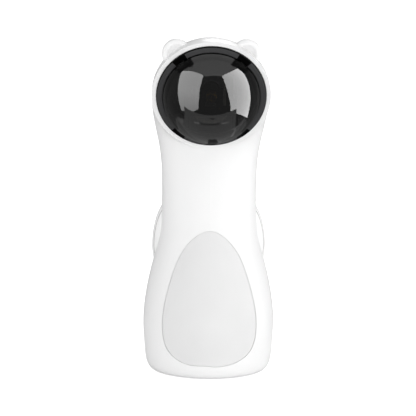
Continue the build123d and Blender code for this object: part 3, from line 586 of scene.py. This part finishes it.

# %% [markdown]
# A white ceiling panel hangs above, with an unlit gap on either side of it. On the table lies a sheet
# that narrows towards the back, with one corner a little brighter, and on it a grey rod whose two ends
# glow as painted highlights. All of these lie level, so their corners are given from above, in metres.

# %% Ceiling and table
CEILING, ON_SHEET = 1.0, 0.001  # m above the table
OVER_CEILING = CEILING + 0.001
GAP_LIGHT, SHEET_LIGHT, END_GLINT_LIGHT = 0.04, 0.42, 1.3


def lying(name, height, outline, material):
    """Panel that lies level at a height above the table."""
    mirrored_only(flat_piece(name, [(x, y, height) for x, y in outline], material))


lying("ceiling_panel", CEILING,
      [(-0.25, -0.62), (0.37, -0.59), (0.57, -0.28), (0.89, 0.48), (0.60, 0.16), (0.52, 0.70),
       (0.53, 3.0), (-0.42, 3.0), (-0.45, 0.54), (-0.53, 0.07), (-1.07, 0.57), (-0.64, -0.14)],
      glow("lit_ceiling", 0.7, 0.4, axis="Y", reach=0.5))
lying("gap_left", OVER_CEILING, [(-0.52, 0.07), (-0.44, 0.54), (-0.41, 3.0), (-3.0, 3.0), (-1.09, 0.60)],
      glow("unlit_gap", GAP_LIGHT))
lying("gap_right", OVER_CEILING, [(0.59, 0.16), (0.51, 0.70), (0.52, 3.0), (2.0, 3.0), (0.91, 0.50)],
      glow("unlit_gap_right", GAP_LIGHT))
lying("sheet", 0.0,
      [(-0.52, -0.225), (-0.28, -0.245), (0.0, -0.256), (0.18, -0.262), (0.39, -0.24), (0.20, -0.103),
       (0.148, -0.045), (0.116, 0.017), (0.089, 0.13), (-0.10, 0.16), (-0.122, 0.067), (-0.158, -0.007),
       (-0.21, -0.065), (-0.30, -0.132)],
      glow("lit_sheet", SHEET_LIGHT))
lying("sheet_corner", 0.0,
      [(-0.207, -0.045), (-0.222, -0.012), (-0.26, 0.03), (-0.21, 0.106), (-0.17, 0.14), (-0.13, 0.18),
       (-0.11, 0.12), (-0.124, 0.067), (-0.16, -0.007), (-0.19, -0.045)],
      glow("lit_sheet_corner", 0.46))
lying("rod", ON_SHEET, [(-0.074, -0.132), (0.054, -0.140), (0.054, -0.124), (-0.074, -0.116)],
      glow("rod_grip", 0.2))
# The rod's two ends glow as painted highlights.
lying("rod_end_left", ON_SHEET, [(-0.115, -0.112), (-0.078, -0.124), (-0.078, -0.116), (-0.115, -0.104)],
      glow("rod_glint_left", END_GLINT_LIGHT))
lying("rod_end_right", ON_SHEET, [(0.065, -0.134), (0.123, -0.114), (0.123, -0.106), (0.065, -0.126)],
      glow("rod_glint_right", END_GLINT_LIGHT))
print("ceiling at", CEILING, "m, sheet on the table")

# %% [markdown]
# The dome looks down on the toy's own white chest, which would show in it as a bright crescent. A card
# in front of the chest hides it, and an apron card slopes from the dome's lower edge to the chest
# card's top. A small dark card lies over both in the middle and paints a dark notch into the dome's
# reflection, and a pale strip that glows along one side of the card paints a highlight into it. Each card
# runs between two level edges, so its lower and its upper edge describe it.

# %% Chest card and apron
CARD_Y = -42.5
DARK_MARK_Y = CARD_Y - 0.2
DARK_MARK_LEFT, DARK_MARK_RIGHT = -2.1, 4.2
APRON_LOW, APRON_HIGH = (-22.0, 134.4), (CARD_Y, 141.6)
DARK_MARK_LIFT = 0.1


def card(name, left, right, low, high, strength):
    """Card between two level edges. All sizes are in mm, and an edge is given by its y and z."""
    corners = [(left, *low), (right, *low), (right, *high), (left, *high)]
    mirrored_only(flat_piece(name, [Vector(corner) * MM for corner in corners],
                             glow(name + "_grey", strength)))


def lifted(edge):
    """An edge raised so that the dark mark lies over the apron card."""
    return edge[0], edge[1] + DARK_MARK_LIFT


card("chest_card", -48, 48, (CARD_Y, 0), (CARD_Y, 142.5), SHEET_LIGHT)
# The dark card paints a dark notch into the dome's reflection; the strip is a painted highlight.
card("card_dark_mark", DARK_MARK_LEFT, DARK_MARK_RIGHT, (DARK_MARK_Y, 134.5), (DARK_MARK_Y, 143), strength=0.1)
highlight_strip = [(44, 100), (36.5, 122.5), (26, 136), (15, 144), (12.5, 143), (24, 134), (34, 121), (41, 99)]
mirrored_only(flat_piece("card_edge", [Vector((x, DARK_MARK_Y, z)) * MM for x, z in highlight_strip],
                         glow("card_edge_painted_highlight", 0.7)))
card("apron_card", -45, 45, APRON_LOW, APRON_HIGH, strength=0.28)
card("apron_dark_mark", DARK_MARK_LEFT, DARK_MARK_RIGHT, lifted(APRON_LOW), lifted(APRON_HIGH), strength=0.05)
print("chest card", round(FACE_CENTRE.y / MM - CARD_Y, 1), "mm ahead of the face's centre")

# %% [markdown]
# The dome's rim mirrors the ring and the white lip beside it, which would break up its dark edge.
# Collar cards just over the ring keep that edge calm. They are lit like the ceiling at the top, a little
# at the bottom, and hardly at all between. Each is a piece of a flat ring, so two arcs make its outline.

# %% Collar cards
COLLAR_INNER, COLLAR_LIFT = 28.4, 1.6  # mm
ARC_STEPS = 12
collar_parts = [  # name, start and stop in degrees, outer radius in mm, light
    ("collar_top", 62, 116, 37, 0.45), ("collar_gap_left", 116, 141, 39, GAP_LIGHT),
    ("collar_gap_right", 39, 62, 39, GAP_LIGHT), ("collar_left", 141, 205, 38, 0.1),
    ("collar_right", -28, 39, 38, 0.1), ("collar_low_left", 205, 228, 44, 0.1),
    ("collar_low_right", -52, -28, 44, 0.1), ("collar_bottom", 228, 308, 44, 0.2),
]
for name, start, stop, outer, strength in collar_parts:
    steps = [radians(start + (stop - start) * i / ARC_STEPS) for i in range(ARC_STEPS + 1)]
    rim = [(outer, a) for a in steps] + [(COLLAR_INNER, a) for a in reversed(steps)]
    points = [FACE_CENTRE + MM * (COLLAR_LIFT * FACE_OUT + radius * (cos(a) * FACE_RIGHT + sin(a) * FACE_UP))
              for radius, a in rim]
    mirrored_only(flat_piece(name, points, glow(name + "_card", strength)))
print("collar of", len(collar_parts), "cards round", [round(v, 3) for v in FACE_CENTRE])

# %% [markdown]
# ## Lamps
# Large lamps keep the shading soft. The strongest stands to the camera's right, so that the white body
# goes from light grey at the left of the view to paper white at the right. Two low ones in front lighten
# the neck under the head. These three stay out of reflections, because the glowing panels take that
# part. The small lamp behind the toy does show in them, and draws the highlight on the brow.

# %% Lamps
MIDDLE, HEAD = (0, 0, 0.1), (0, -0.04, 0.2)
lamps = [  # name, place, target, width and height in m, power in W, shows in reflections
    ("key_side", (1.5, -0.5, 0.5), MIDDLE, 1.0, 1.2, 8.0, False),
    ("low_front", (0.15, -1.5, 0.36), MIDDLE, 1.2, 0.2, 6.8, False),
    ("low_left", (-1.2, -0.9, 0.3), MIDDLE, 1.0, 0.2, 3.0, False),
    ("back_top", (0.14, 1.3, 0.78), HEAD, 0.4, 0.25, 3.7, True),
]
for name, stand, target, width, height, power, mirrored in lamps:
    data = bpy.data.lights.new(name, "AREA")
    data.shape = "RECTANGLE"
    data.size, data.size_y, data.energy = width, height, power
    lamp = bpy.data.objects.new(name, data)
    lamp.location = stand
    lamp.rotation_mode = "QUATERNION"
    lamp.rotation_quaternion = (Vector(stand) - Vector(target)).to_track_quat("Z", "Y")
    lamp.visible_camera = False
    lamp.visible_glossy = mirrored
    bpy.context.collection.objects.link(lamp)
print("lamps:", ", ".join(name for name, *_ in lamps))

# %% [markdown]
# ## View transform
# A plain view transform shows colours about as they are written.

# %% View transform
bpy.context.scene.view_settings.view_transform = "Standard"
